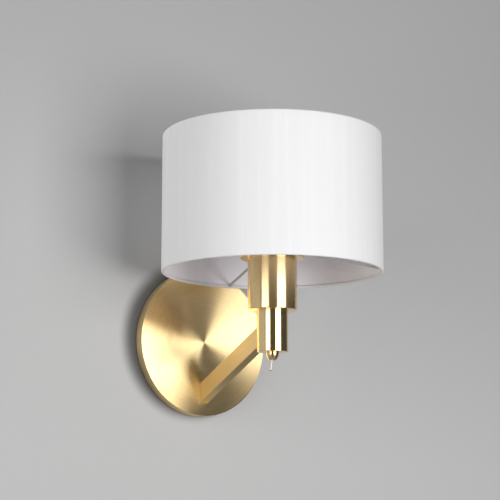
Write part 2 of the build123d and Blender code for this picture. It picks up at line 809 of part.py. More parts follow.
with BuildPart() as switched_lead:
    add(
        lead_along(
            [
                (-lead_offset, lamp_y - blade_offset, switch_top_z + blade_height),
                (-lead_offset, lamp_y - blade_offset, switch_top_z + blade_height + 2.0),
                (-lead_offset, lamp_y, nipple_bottom_z - 2.0),
                (-lead_offset, lamp_y, turn_z),
                (-holder_terminal_x, lamp_y, turn_z),
                (-holder_terminal_x, lamp_y, terminal_under_z),
            ],
            [lead_bend, lead_bend, 1.5, 1.5],
        )
    )
switched_lead.part.label = "switched_lead"
export_step(switched_lead.part, "parts/switched_lead.step")

with BuildPart() as earth_lead:
    add(
        lead_along(
            [
                (block_side_x, pole_y, pole_heights[2]),
                (earth_screw_x, pole_y, pole_heights[2]),
                (earth_screw_x, earth_barrel_y, earth_barrel_end_z - 2 * lead_bend),
                (earth_screw_x, earth_barrel_y, earth_barrel_end_z),
            ],
            [lead_bend, lead_bend],
        )
    )
earth_lead.part.label = "earth_lead"
export_step(earth_lead.part, "parts/earth_lead.step")
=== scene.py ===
"""Looks of a fabric shade wall light: brushed and turned brass, a white cloth drum, its stage."""

import math

import bpy
import numpy as np
from mathutils import Matrix, Vector


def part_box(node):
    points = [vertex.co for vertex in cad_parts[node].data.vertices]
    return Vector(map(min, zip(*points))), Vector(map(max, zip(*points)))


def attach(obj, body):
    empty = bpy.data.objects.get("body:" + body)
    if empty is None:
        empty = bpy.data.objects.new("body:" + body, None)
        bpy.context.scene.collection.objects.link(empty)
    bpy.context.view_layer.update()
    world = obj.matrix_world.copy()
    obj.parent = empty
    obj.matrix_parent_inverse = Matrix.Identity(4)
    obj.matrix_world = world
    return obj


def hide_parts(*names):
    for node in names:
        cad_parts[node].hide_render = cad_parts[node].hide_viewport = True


bl_info = {
    "name": "Fabric Shade Wall Light",
    "version": (1, 0, 0),
    "blender": (4, 5, 0),
    "location": "View3D > Sidebar > Wall Light",
    "description": "Dresses a wall light's packed parts in brass, cloth and wire, and lights them",
    "category": "Object",
}

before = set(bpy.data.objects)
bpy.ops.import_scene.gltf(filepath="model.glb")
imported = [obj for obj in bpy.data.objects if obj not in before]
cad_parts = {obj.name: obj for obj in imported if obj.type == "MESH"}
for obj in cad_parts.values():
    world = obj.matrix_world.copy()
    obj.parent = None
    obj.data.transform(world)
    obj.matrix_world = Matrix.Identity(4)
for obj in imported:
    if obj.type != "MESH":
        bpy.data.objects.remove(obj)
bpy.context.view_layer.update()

MM = 0.001

# Steps of the meshes
ROLL_STEPS = 22
WALL_STEPS = 10
DRUM_COLUMNS = 540
LAP_COLUMNS = 14
THREAD_ROWS_PER_PITCH = 20
THREAD_COLUMNS = 120


def box_of(node):
    """Lowest and highest corner of a part, as two arrays in metres."""
    low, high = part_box(node)
    return np.array(low), np.array(high)


# Places read from the frame, in metres
cup_low, cup_high = box_of("lamp_cup")
fabric_low, fabric_high = box_of("shade_fabric")
ring_low, ring_high = box_of("top_ring")
shell_low, shell_high = box_of("screw_shell")
brim_top = box_of("brim")[1][2]
plate_foot = box_of("backplate")[0][2]
lever_end = box_of("toggle_lever")[0][2]
lamp_x, lamp_y = (cup_low[:2] + cup_high[:2]) / 2
lamp_axis = (lamp_x, lamp_y, 0.0)
shade_radius = (fabric_high[0] - fabric_low[0]) / 2
ring_wire_radius = (ring_high[2] - ring_low[2]) / 2
ring_radius = (ring_high[0] - ring_low[0]) / 2 - ring_wire_radius
top_ring_height = (ring_high[2] + ring_low[2]) / 2
bottom_ring_height = fabric_low[2] + (fabric_high[2] - top_ring_height)
drum_height = top_ring_height - bottom_ring_height
shell_radius = (shell_high[0] - shell_low[0]) / 2
shell_height = shell_high[2] - shell_low[2]

# What the boxes can't tell: how far the arm rises as it runs out, and where the wire arms point
arm_slope = 0.475
arm_way = Vector((0.0, -1.0, arm_slope)).normalized()
spider_turns = np.radians([11.5, 131.5, 251.5])


# ---- Sizes and colours that a user would change -------------------------------------------


def length(name, text, default):
    """A property that holds a length in metres."""
    return bpy.props.FloatProperty(
        name=name, description=text, default=default, unit="LENGTH", precision=5
    )


def colour(name, text, default):
    """A property that holds a colour."""
    return bpy.props.FloatVectorProperty(
        name=name, description=text, default=default, subtype="COLOR", size=3, min=0, max=1
    )


def share(name, text, default):
    """A property that holds a share from 0 to 1."""
    return bpy.props.FloatProperty(name=name, description=text, default=default, min=0, max=1)


def lightness(name, text, default):
    """A property that holds how many times as light a surface is."""
    return bpy.props.FloatProperty(name=name, description=text, default=default, min=0)


def angle(name, text, degrees):
    """A property that holds an angle."""
    return bpy.props.FloatProperty(
        name=name, description=text, default=math.radians(degrees), unit="ROTATION", precision=4
    )


def power(name, text, default):
    """A property that holds a lamp's power."""
    return bpy.props.FloatProperty(
        name=name, description=text, default=default, min=0, unit="POWER"
    )


class BrassSettings(bpy.types.PropertyGroup):
    """Colours and polish of the brass."""

    tone: colour("Brass", "Colour of the brass", (0.93, 0.705, 0.37))
    # The arm's colour is the brass painted lighter: painted light on the arm's faces
    arm_painted_light_tone: colour("Arm", "Colour of the arm's paler brass", (0.99, 0.775, 0.43))
    plate_roughness: share("Plate roughness", "How matt the plate's brushing is", 0.335)
    plate_stretch: share("Plate stretch", "How far the plate stretches its highlights", 0.96)
    cup_roughness: share("Cup roughness", "How matt the lamp cup is", 0.27)
    turned_roughness: share("Turned roughness", "How matt the smaller turned parts are", 0.20)
    arm_roughness: share("Arm roughness", "How matt the arm is", 0.50)


class ShadeSettings(bpy.types.PropertyGroup):
    """Cloth, lining and wires of the drum."""

    cloth: colour("Cloth", "Colour of the cloth", (0.86, 0.86, 0.87))
    lining: colour("Lining", "Colour of the lining", (0.93, 0.90, 0.94))
    wire: colour("Wire", "Colour of the coated wires", (0.52, 0.51, 0.52))
    thread_pitch: length("Thread pitch", "Distance between two threads", 0.42 * MM)
    thickness: length("Cloth thickness", "Thickness of the cloth", 0.35 * MM)
    lap_width: length("Lap width", "Width of the glued lap behind the drum", 11.0 * MM)
    roll: angle("Roll", "How far the cloth rolls round a ring", 300.0)
    notch_roll: angle("Roll at a notch", "How far it rolls where a wire arm comes in", 150.0)
    notch_width: length("Notch width", "Width of the notch for a wire arm", 4.0 * MM)


class FittingSettings(bpy.types.PropertyGroup):
    """Threads, plastics, plating and leads."""

    socket_pitch: length("Socket pitch", "Pitch of the socket's rolled thread", 3.6 * MM)
    socket_depth: length("Socket depth", "Depth of the socket's rolled thread", 0.8 * MM)
    socket_wall: length("Socket wall", "Thickness of the socket's shell", 0.35 * MM)
    collar_pitch: length("Collar pitch", "Pitch of the thread on the cup's collar", 2.2 * MM)
    collar_depth: length("Collar depth", "Depth of the thread on the cup's collar", 0.8 * MM)
    holder: colour("Lampholder", "Colour of the lampholder's plastic", (0.78, 0.77, 0.74))
    shade_ring: colour("Shade ring", "Colour of the shade ring's plastic", (0.80, 0.79, 0.76))
    nickel: colour("Nickel", "Colour of the socket's and switch's nickel", (0.74, 0.71, 0.66))
    copper: colour("Copper", "Colour of the tinned contacts and tags", (0.72, 0.70, 0.66))
    lever: colour("Lever", "Colour of the switch's lever", (0.66, 0.58, 0.55))
    # The lever tip's colour is a painted dark reflection on its end face
    lever_painted_reflection: colour("Lever tip", "Colour of the lever's dark tip", (0.08, 0.07, 0.07))
    switch_body: colour("Switch", "Colour of the switch's plastic", (0.025, 0.025, 0.028))
    zinc: colour("Zinc", "Colour of the bracket's and fixings' zinc", (0.62, 0.64, 0.66))
    block: colour("Block", "Colour of the terminal block's plastic", (0.76, 0.75, 0.70))
    live: colour("Live lead", "Colour of the live and switched leads", (0.13, 0.05, 0.025))
    neutral: colour("Neutral lead", "Colour of the neutral lead", (0.02, 0.10, 0.32))
    earth: colour("Earth lead", "Ground colour of the earth lead", (0.03, 0.22, 0.05))
    earth_stripe: colour("Earth stripe", "Colour of the earth lead's stripe", (0.78, 0.62, 0.04))


class StageSettings(bpy.types.PropertyGroup):
    """Wall, floor, lights and camera."""

    wall: colour("Wall", "Colour of the wall", (0.50, 0.50, 0.50))
    # Painted light and shade on the wall: painted lighter below the plate and darker above the drum
    painted_light_foot: lightness("Wall foot", "How light the wall is below the plate", 1.06)
    painted_shade_head: lightness("Wall head", "How light the wall is above the drum", 0.89)
    # The wall's soft dark disc is a painted shadow, as if the plate cast it to its left
    painted_shadow_aside: length("Disc aside", "How far right of the plate the dark disc lies", -8.2 * MM)
    painted_shadow_rise: length("Disc rise", "How far above the plate's middle the disc lies", 2.2 * MM)
    painted_shadow_core: length("Disc core", "Radius of the disc's darkest part", 58.0 * MM)
    painted_shadow_edge: length("Disc edge", "Radius at which the disc ends", 73.0 * MM)
    painted_shadow_gain: share("Disc gain", "How light the disc's darkest part is", 0.21)
    flag: colour("Dark card", "Colour of the card that only reflections show", (0.10, 0.10, 0.10))
    flag_aside: length("Card aside", "How far right of the plate's middle the card lies", 0.25)
    flag_drop: length("Card drop", "How far below the plate the card's middle lies", 0.22)
    flag_width: length("Card width", "Width of the card", 0.8)
    flag_height: length("Card height", "Height of the card", 0.4)
    floor: colour("Floor", "Colour of the floor", (0.72, 0.72, 0.71))
    floor_height: length("Floor height", "Height of the floor", -2.0)
    front_power: power("Front light", "Power of the softbox in front", 21.0)
    side_power: power("Side light", "Power of the softbox at the left", 10.5)
    back_power: power("Back light", "Power of the light behind the wall", 13.0)
    room_light: share("Room light", "Strength of the light of the room itself", 0.07)
    lens: bpy.props.FloatProperty(
        name="Lens", description="Focal length of the camera in millimetres", default=107.2, min=1
    )
    camera_place: bpy.props.FloatVectorProperty(
        name="Camera",
        description="Place of the camera",
        default=(-0.7014, -1.0737, -0.1424),
        unit="LENGTH",
    )
    camera_turn: angle("Turn", "How far the camera is turned to the right", 35.137)
    camera_pitch: angle("Pitch", "How far the camera looks up", 9.94)
    camera_roll: angle("Roll", "How far the camera leans to the left", 0.0)


# ---- Meshes -------------------------------------------------------------------------------


def surface(name, points, close_rows=False, close_columns=True, chart=None):
    """Object made of a grid of points, rows by columns by 3.

    Each face joins a point, the next row's, the one after that and the next column's. A closed
    grid goes on from its last row or column to its first. A chart holds a UV for each corner.
    """
    rows, columns = points.shape[:2]
    row = np.arange(rows if close_rows else rows - 1)[:, None, None] + np.array([0, 1, 1, 0])
    column = np.arange(columns if close_columns else columns - 1)[:, None] + np.array([0, 0, 1, 1])
    faces = (row % rows * columns + column % columns).reshape(-1, 4)
    mesh = bpy.data.meshes.new(name)
    mesh.from_pydata(points.reshape(-1, 3).tolist(), [], faces.tolist())
    mesh.shade_smooth()
    if chart is not None:
        layer = mesh.uv_layers.new(name="UVMap")
        layer.data.foreach_set("uv", chart[row, column].reshape(-1).astype(np.float32))
    made = bpy.data.objects.new(name, mesh)
    bpy.context.scene.collection.objects.link(made)
    return made


def about_lamp(radius, height, turn):
    """Points at a radius, a height and a turn about the lamp's axis.

    A turn of 0 faces the wall, and a quarter turn faces +X.
    """
    radius, height, turn = np.broadcast_arrays(radius, height, turn)
    x, y = lamp_x + radius * np.sin(turn), lamp_y + radius * np.cos(turn)
    return np.stack([x, y, height], axis=-1)


# ---- Shader helpers -----------------------------------------------------------------------


def join(tree, socket, value):
    """Links a socket to another or sets its value."""
    if isinstance(value, bpy.types.NodeSocket):
        tree.links.new(value, socket)
    else:
        socket.default_value = value


def add(tree, kind, values=None, **settings):
    """A new node with its settings, its values and its links made."""
    made = tree.nodes.new(kind)
    for key, value in settings.items():
        setattr(made, key, value)
    for key, value in (values or {}).items():
        join(tree, made.inputs[key], value)
    return made


def maths(tree, operation, *values, clamp=False):
    """Result of a Math node."""
    values = dict(enumerate(values))
    return add(tree, "ShaderNodeMath", values, operation=operation, use_clamp=clamp).outputs[0]


def vectors(tree, operation, *values):
    """Result of a Vector Math node."""
    made = add(tree, "ShaderNodeVectorMath", dict(enumerate(values)), operation=operation)
    return made.outputs["Value" if operation in ("LENGTH", "DOT_PRODUCT") else "Vector"]


def split(tree, vector):
    """X, Y and Z of a vector."""
    return add(tree, "ShaderNodeSeparateXYZ", {"Vector": vector}).outputs


def combine(tree, x, y, z):
    """Vector of three values."""
    return add(tree, "ShaderNodeCombineXYZ", {"X": x, "Y": y, "Z": z}).outputs[0]


def spread(tree, value, low, high, to_low=0.0, to_high=1.0, curve="LINEAR"):
    """A value carried from one range to another, straight or along a smooth step."""
    values = {
        "Value": value, "From Min": low, "From Max": high, "To Min": to_low, "To Max": to_high
    }
    return add(tree, "ShaderNodeMapRange", values, interpolation_type=curve).outputs["Result"]


def spread_noise(tree, value, to_low, to_high):
    """A noise carried to another range from 0.3 to 0.7, which holds nearly all of it."""
    return spread(tree, value, 0.3, 0.7, to_low, to_high)


def noise(tree, vector, scale=1.0, detail=3.0, roughness=0.5):
    """Noise from 0 to 1."""
    values = {"Vector": vector, "Scale": scale, "Detail": detail, "Roughness": roughness}
    return add(tree, "ShaderNodeTexNoise", values).outputs["Fac"]


def tint(tree, factor, first, second):
    """Colour between two colours."""
    made = add(tree, "ShaderNodeMix", data_type="RGBA")
    join(tree, made.inputs[0], factor)
    join(tree, made.inputs[6], first)
    join(tree, made.inputs[7], second)
    return made.outputs[2]


def new_group(name, takes, gives):
    """Shader node group with named sockets: returns it, its given values and its results."""
    group = bpy.data.node_groups.new(name, "ShaderNodeTree")
    for in_out, sockets in (("INPUT", takes), ("OUTPUT", gives)):
        for socket, kind in sockets.items():
            group.interface.new_socket(socket, in_out=in_out, socket_type="NodeSocket" + kind)
    given = group.nodes.new("NodeGroupInput").outputs
    result = group.nodes.new("NodeGroupOutput").inputs
    return group, given, result


def use_group(tree, name, **values):
    """Outputs of an instance of a node group with its values set or linked."""
    made = tree.nodes.new("ShaderNodeGroup")
    made.node_tree = bpy.data.node_groups[name]
    for key, value in values.items():
        join(tree, made.inputs[key], value)
    return made.outputs


def opaque(rgb, gain=1.0):
    """A colour property as a node colour, lighter or darker by a gain."""
    return (*[min(1.0, part * gain) for part in rgb], 1.0)


def new_material(name, values):
    """Material with a Principled BSDF: returns it, its tree, the shader and Object coordinates."""
    material = bpy.data.materials.new(name)
    material.use_nodes = True
    tree = material.node_tree
    shader = tree.nodes["Principled BSDF"]
    for key, value in values.items():
        shader.inputs[key].default_value = value
    return material, tree, shader, add(tree, "ShaderNodeTexCoord").outputs["Object"]


def finish_look(tree, shader, base, roughness, height=None, depth=0.0):
    """Links a colour, a roughness and a bump of a depth in metres to the shader."""
    join(tree, shader.inputs["Base Color"], base)
    join(tree, shader.inputs["Roughness"], roughness)
    if height is not None:
        bump = add(tree, "ShaderNodeBump", {"Height": height, "Distance": depth})
        join(tree, shader.inputs["Normal"], bump.outputs["Normal"])


def dress(material, *nodes):
    """Gives a material to parts that keep their own shape."""
    for node in nodes:
        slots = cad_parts[node].data.materials
        slots.clear()
        slots.append(material)


# ---- Effects that several materials share -------------------------------------------------


def make_brushed_lines():
    """Group of fine brush lines, and of streaks some nine times as wide.

    The vector's X, in millimetres, runs across them, and Y and Z along them.
    """
    takes = {"Vector": "Vector", "Lines per mm": "Float", "Run": "Float"}
    gives = {"Lines": "Float", "Streaks": "Float"}
    group, given, result = new_group("brushed_lines", takes, gives)
    place = split(group, given["Vector"])
    across = maths(group, "MULTIPLY", place["X"], given["Lines per mm"])
    along = maths(group, "MULTIPLY", place["Y"], given["Run"])
    aside = maths(group, "MULTIPLY", place["Z"], given["Run"])
    wide = maths(group, "MULTIPLY", across, 0.11)
    lines = noise(group, combine(group, across, along, aside), detail=2.0, roughness=0.7)
    streaks = noise(group, combine(group, wide, along, aside), detail=3.0, roughness=0.6)
    join(group, result["Lines"], lines)
    join(group, result["Streaks"], streaks)


def make_handling_marks():
    """Group of soft clouds, from -0.5 to 0.5 times an amount, as lacquer and handling leave."""
    takes = {"Vector": "Vector", "Scale": "Float", "Amount": "Float"}
    group, given, result = new_group("handling_marks", takes, {"Marks": "Float"})
    clouds = noise(group, given["Vector"], given["Scale"], detail=4.0, roughness=0.6)
    middled = maths(group, "SUBTRACT", clouds, 0.5)
    join(group, result["Marks"], maths(group, "MULTIPLY", middled, given["Amount"]))


def handling_marks(tree, place, scale, amount):
    """Clouds from the group of handling marks."""
    return use_group(tree, "handling_marks", Vector=place, Scale=scale, Amount=amount)["Marks"]


def make_woven_cloth():
    """Group of a plain weave: threads cross over and under, some upright ones thicken into slubs.

    The height is the rounded back of whichever thread lies on top, found from two sines of the
    chart whose product changes sign at every crossing. Slubs are noise stretched along the upright
    threads, and so is the broader noise of the sheen.
    """
    slubs_per_metre = (1600.0, 42.0, 0.0)
    bands_per_metre = (170.0, 4.0, 0.0)
    slub_height = 1.6
    takes = {"Chart": "Vector", "Pitch": "Float"}
    gives = {"Height": "Float", "Slubs": "Float", "Sheen": "Float"}
    group, given, result = new_group("woven_cloth", takes, gives)
    place = split(group, given["Chart"])
    step = maths(group, "DIVIDE", math.pi, given["Pitch"])
    upright = maths(group, "SINE", maths(group, "MULTIPLY", place["X"], step))
    level = maths(group, "SINE", maths(group, "MULTIPLY", place["Y"], step))
    over = maths(group, "GREATER_THAN", maths(group, "MULTIPLY", upright, level), 0.0)
    under = maths(group, "SUBTRACT", 1.0, over)
    upright_back = maths(group, "MULTIPLY", over, maths(group, "ABSOLUTE", upright))
    level_back = maths(group, "MULTIPLY", under, maths(group, "ABSOLUTE", level))
    weave = maths(group, "ADD", upright_back, level_back)
    slub_place = vectors(group, "MULTIPLY", given["Chart"], slubs_per_metre)
    slubs = spread(group, noise(group, slub_place, detail=2.0, roughness=0.6), 0.52, 0.80)
    raised = maths(group, "MULTIPLY", slubs, slub_height)
    band_place = vectors(group, "MULTIPLY", given["Chart"], bands_per_metre)
    join(group, result["Height"], maths(group, "ADD", weave, raised))
    join(group, result["Slubs"], slubs)
    join(group, result["Sheen"], noise(group, band_place))


def make_moulded_grain():
    """Group of the fine pebbled skin that a mould leaves."""
    takes = {"Vector": "Vector", "Grain": "Float"}
    group, given, result = new_group("moulded_grain", takes, {"Height": "Float"})
    fine = noise(group, given["Vector"], given["Grain"], detail=2.0)
    join(group, result["Height"], spread(group, fine, 0.35, 0.65))


# ---- Brass --------------------------------------------------------------------------------


def brass_material(
    name, tone, roughness, brush, tangent, stretch,
    lines_per_mm, run, depth, marks, line_tint, relief=None,
):
    """Brass whose highlights stretch along a tangent, with fine lines across it.

    The base colour is darker in the lines, and the roughness follows the streaks and the marks. A
    relief is a function that gives a further height in metres, such as a thread's.
    """
    values = {"Metallic": 1.0, "Anisotropic": stretch, "Coat Weight": 0.12, "Coat Roughness": 0.12}
    material, tree, shader, place = new_material(name, values)
    lines = {"Lines per mm": lines_per_mm, "Run": run}
    brushed = use_group(tree, "brushed_lines", Vector=brush(tree, place), **lines)
    clouds = handling_marks(tree, place, scale=38.0, amount=marks)
    streaks = spread_noise(tree, brushed["Streaks"], -line_tint, line_tint)
    worn = maths(tree, "ADD", streaks, clouds)
    pale = spread(tree, brushed["Lines"], 0.25, 0.75)
    base = tint(tree, pale, opaque(tone, 1.0 - line_tint), opaque(tone, 1.0 + line_tint))
    rough = maths(tree, "ADD", maths(tree, "MULTIPLY", worn, roughness), roughness)
    join(tree, shader.inputs["Tangent"], tangent(tree, place))
    height = maths(tree, "MULTIPLY", brushed["Lines"], depth / MM)
    if relief:
        height = maths(tree, "ADD", height, maths(tree, "DIVIDE", relief(tree, place), MM))
    finish_look(tree, shader, base, rough, height, MM)
    return material


def ring_brush(tree, place, centre, about_y):
    """Brush space of rings about an axis along Y, or else along Z.

    Radius and depth together, in millimetres, run across the rings, and a unit circle along them.
    """
    x, y, z = split(tree, vectors(tree, "SUBTRACT", place, centre))
    aside, depth = (z, y) if about_y else (y, z)
    flat = combine(tree, x, aside, 0.0)
    unit = split(tree, vectors(tree, "NORMALIZE", flat))
    across = maths(tree, "ADD", vectors(tree, "LENGTH", flat), depth)
    return combine(tree, maths(tree, "MULTIPLY", across, 1 / MM), unit["X"], unit["Y"])


def plate_brush(tree, place):
    """Rings about the plate's middle."""
    return ring_brush(tree, place, (0.0, 0.0, 0.0), about_y=True)


def plate_tangent(tree, place):
    """Away from the plate's middle, with a little depth so that it is never square to the rim."""
    x, _, z = split(tree, place)
    return vectors(tree, "NORMALIZE", combine(tree, x, 2 * MM, z))


def turned_brush(tree, place):
    """Rings about the lamp's axis."""
    return ring_brush(tree, place, lamp_axis, about_y=False)


def turned_tangent(tree, place):
    """Upwards, with some of the radius so that it is never square to a level face."""
    x, y, _ = split(tree, vectors(tree, "SUBTRACT", place, lamp_axis))
    return vectors(tree, "NORMALIZE", combine(tree, x, y, 50 * MM))


def collar_thread(tree, place):
    """Height of the collar's thread: a cosine of the height less the turn, above the brim only."""
    fitting = bpy.context.scene.wall_light_fitting
    x, y, z = split(tree, vectors(tree, "SUBTRACT", place, lamp_axis))
    climb = maths(tree, "MULTIPLY", z, 2 * math.pi / fitting.collar_pitch)
    phase = maths(tree, "SUBTRACT", climb, maths(tree, "ARCTAN2", y, x))
    above = maths(tree, "GREATER_THAN", z, brim_top + 1.0 * MM)
    wave = maths(tree, "MULTIPLY", maths(tree, "COSINE", phase), above)
    return maths(tree, "MULTIPLY", wave, fitting.collar_depth / 2)


def arm_brush(tree, place):
    """Lines along the arm: height square to it and width together run across them."""
    square = vectors(tree, "DOT_PRODUCT", place, (0.0, arm_way[2], -arm_way[1]))
    across = maths(tree, "ADD", square, split(tree, place)["X"])
    along = vectors(tree, "DOT_PRODUCT", place, tuple(arm_way))
    millimetres = maths(tree, "MULTIPLY", across, 1 / MM)
    centimetres = maths(tree, "MULTIPLY", along, 0.1 / MM)
    return combine(tree, millimetres, centimetres, 0.0)


def arm_tangent(tree, place):
    """Across the arm on each of its faces."""
    normal = add(tree, "ShaderNodeNewGeometry").outputs["Normal"]
    return vectors(tree, "CROSS_PRODUCT", normal, tuple(arm_way))


class WALLLIGHT_OT_brass(bpy.types.Operator):
    """Finish the plate, the arm and the turned parts in brass"""

    bl_idname = "wall_light.brass"
    bl_label = "Brass"

    def execute(self, context):
        brass = context.scene.wall_light_brass
        plate = brass_material(
            "brushed_plate_brass", brass.tone, brass.plate_roughness, plate_brush, plate_tangent,
            stretch=brass.plate_stretch, lines_per_mm=2.2, run=2.5, depth=0.012 * MM,
            marks=0.25, line_tint=0.09,
        )
        turning = {
            "brush": turned_brush, "tangent": turned_tangent, "stretch": 0.95,
            "lines_per_mm": 12.0, "run": 1.5, "depth": 0.0001 * MM,
            "marks": 0.06, "line_tint": 0.012,
        }
        turned = brass_material("turned_brass", brass.tone, brass.turned_roughness, **turning)
        # The arm takes the brass painted lighter, as painted light
        drawn = brass_material(
            "drawn_bar_brass", brass.arm_painted_light_tone, brass.arm_roughness, arm_brush, arm_tangent,
            stretch=0.6, lines_per_mm=8.0, run=1.2, depth=0.001 * MM, marks=0.05, line_tint=0.02,
        )
        threaded = brass_material(
            "threaded_brass", brass.tone, brass.cup_roughness, relief=collar_thread, **turning
        )
        dress(plate, "backplate")
        dress(turned, "brim", "switch_housing", "dome_nut")
        dress(threaded, "lamp_cup")
        dress(drawn, "arm")
        return {"FINISHED"}


# ---- Drum ---------------------------------------------------------------------------------


def roll_at(turn, shade):
    """How far the lower hem rolls at each turn: less beside a wire arm.

    The shortfall is a flat-topped bell: e to the minus fourth power of the distance from the
    nearest arm over half the notch's width.
    """
    away = np.abs((turn[:, None] - spider_turns + np.pi) % (2 * np.pi) - np.pi) * ring_radius
    nearest = away.min(axis=1) / (shade.notch_width / 2)
    return shade.roll - (shade.roll - shade.notch_roll) * np.exp(-(nearest**4))


def drum_path(side, turn, shade):
    """Radius and height along the cloth, from the lower roll's edge to the upper roll's edge.

    Each roll is an arc about its ring's wire, and the wall is the straight line between the arcs.
    The side is a distance outwards from the cloth's middle. Also gives the length along the middle.
    """
    middle = shade_radius - ring_radius - shade.thickness / 2
    steps = np.linspace(0, 1, ROLL_STEPS)[:, None]
    lower = -roll_at(turn, shade) * (1 - steps)
    wall = np.linspace(0, 1, WALL_STEPS)[1:-1, None] + 0 * turn
    upper = shade.roll * steps + 0 * turn
    arc = np.concatenate([lower, 0 * wall, upper])
    rise = drum_height * np.concatenate([0 * lower, wall, 0 * upper + 1])
    radius = ring_radius + (middle + side) * np.cos(arc)
    height = bottom_ring_height + rise + (middle + side) * np.sin(arc)
    return radius, height, rise + middle * arc


def cloth_piece(name, turn, closed, shade, near, far):
    """A sheet of cloth between two distances from the drum's middle surface, as one closed shell.

    The rows go up the far side and down the near side. The chart holds the arc round the drum and
    the length up the cloth, both in metres.
    """
    outer_radius, outer_height, run = drum_path(far, turn, shade)
    inner_radius, inner_height, _ = drum_path(near, turn, shade)
    radius = np.concatenate([outer_radius, inner_radius[::-1]])
    height = np.concatenate([outer_height, inner_height[::-1]])
    up = np.concatenate([run, run[::-1], run[:1]])
    around = turn * shade_radius
    if closed:
        up = np.concatenate([up, up[:, :1]], axis=1)
        around = np.append(around, 2 * np.pi * shade_radius)
    chart = np.stack([np.broadcast_to(around, up.shape), up], axis=-1)
    return surface(name, about_lamp(radius, height, turn), True, closed, chart)


def cloth_material(shade):
    """Fine silky cloth: woven threads, upright slubs and a soft sheen."""
    values = {"Sheen Weight": 0.25, "Sheen Roughness": 0.4, "Specular IOR Level": 0.3}
    material, tree, shader, _ = new_material("drum_cloth", values)
    chart = add(tree, "ShaderNodeTexCoord").outputs["UV"]
    woven = use_group(tree, "woven_cloth", Chart=chart, Pitch=shade.thread_pitch)
    silk = spread_noise(tree, woven["Sheen"], -0.5, 0.5)
    pale = maths(tree, "ADD", maths(tree, "MULTIPLY", woven["Slubs"], 0.8), silk, clamp=True)
    base = tint(tree, pale, opaque(shade.cloth, 0.965), opaque(shade.cloth, 1.02))
    rough = spread_noise(tree, woven["Sheen"], 0.72, 0.58)
    finish_look(tree, shader, base, rough, woven["Height"], 0.035 * MM)
    return material


class WALLLIGHT_OT_cloth(bpy.types.Operator):
    """Make the drum's cloth, with a rolled hem round each ring and a glued lap at the back"""

    bl_idname = "wall_light.cloth"
    bl_label = "Cloth"

    def execute(self, context):
        shade = context.scene.wall_light_shade
        half = shade.thickness / 2
        turn = np.linspace(0, 2 * np.pi, DRUM_COLUMNS, endpoint=False)
        drum = cloth_piece("drum_cloth", turn, True, shade, near=-half, far=half)
        # The lap lies on the drum with a hair between them
        lap_turn = np.linspace(-0.5, 0.5, LAP_COLUMNS) * shade.lap_width / shade_radius
        lap = cloth_piece("cloth_lap", lap_turn, False, shade, near=half * 1.02, far=half * 2.2)
        cloth = cloth_material(shade)
        for piece in (drum, lap):
            piece.data.materials.append(cloth)
            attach(piece, "shade")
        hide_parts("shade_fabric")
        return {"FINISHED"}


class WALLLIGHT_OT_lining(bpy.types.Operator):
    """Finish the lining and the wires inside the drum"""

    bl_idname = "wall_light.lining"
    bl_label = "Lining and wires"

    def execute(self, context):
        shade = context.scene.wall_light_shade
        material, tree, shader, place = new_material("lining_sheet", {"Specular IOR Level": 0.5})
        waves = noise(tree, vectors(tree, "MULTIPLY", place, (60.0, 60.0, 3.0)))
        base = tint(tree, waves, opaque(shade.lining, 0.95), opaque(shade.lining, 1.03))
        finish_look(tree, shader, base, spread_noise(tree, waves, 0.34, 0.44), waves, 0.05 * MM)
        dress(material, "shade_liner")

        material, tree, shader, place = new_material("coated_wire", {"Specular IOR Level": 0.5})
        grain = use_group(tree, "moulded_grain", Vector=place, Grain=1800.0)["Height"]
        clouds = handling_marks(tree, place, scale=70.0, amount=0.6)
        pale = maths(tree, "ADD", clouds, 0.5)
        base = tint(tree, pale, opaque(shade.wire, 0.92), opaque(shade.wire, 1.05))
        rough = spread(tree, clouds, -0.2, 0.2, 0.28, 0.4)
        finish_look(tree, shader, base, rough, grain, 0.006 * MM)
        dress(material, "shade_frame", "top_ring")
        return {"FINISHED"}


# ---- Lampholder and switch ----------------------------------------------------------------


def moulded_material(name, rgb, roughness, depth=0.01 * MM):
    """Moulded plastic with a pebbled skin and faint clouds."""
    material, tree, shader, place = new_material(name, {"Specular IOR Level": 0.5})
    grain = use_group(tree, "moulded_grain", Vector=place, Grain=1500.0)["Height"]
    clouds = handling_marks(tree, place, scale=90.0, amount=0.8)
    base = tint(tree, maths(tree, "ADD", clouds, 0.5), opaque(rgb, 0.9), opaque(rgb, 1.06))
    rough = maths(tree, "ADD", roughness, maths(tree, "MULTIPLY", clouds, 0.15))
    finish_look(tree, shader, base, rough, grain, depth)
    return material


def plated_material(name, rgb, roughness, mottle):
    """Plated metal with fine level scratches and a mottle, such as nickel or zinc."""
    scratches_per_metre = (900.0, 900.0, 5000.0)
    material, tree, shader, place = new_material(name, {"Metallic": 1.0})
    clouds = handling_marks(tree, place, scale=120.0, amount=mottle)
    scratch_place = vectors(tree, "MULTIPLY", place, scratches_per_metre)
    scratches = noise(tree, scratch_place, detail=2.0, roughness=0.6)
    scored = maths(tree, "MULTIPLY", scratches, 0.4)
    pale = maths(tree, "ADD", scored, maths(tree, "ADD", clouds, 0.3))
    base = tint(tree, pale, opaque(rgb, 0.8), opaque(rgb, 1.1))
    rough = maths(tree, "ADD", roughness, maths(tree, "MULTIPLY", clouds, 0.3))
    finish_look(tree, shader, base, rough, scratches, 0.002 * MM)
    return material


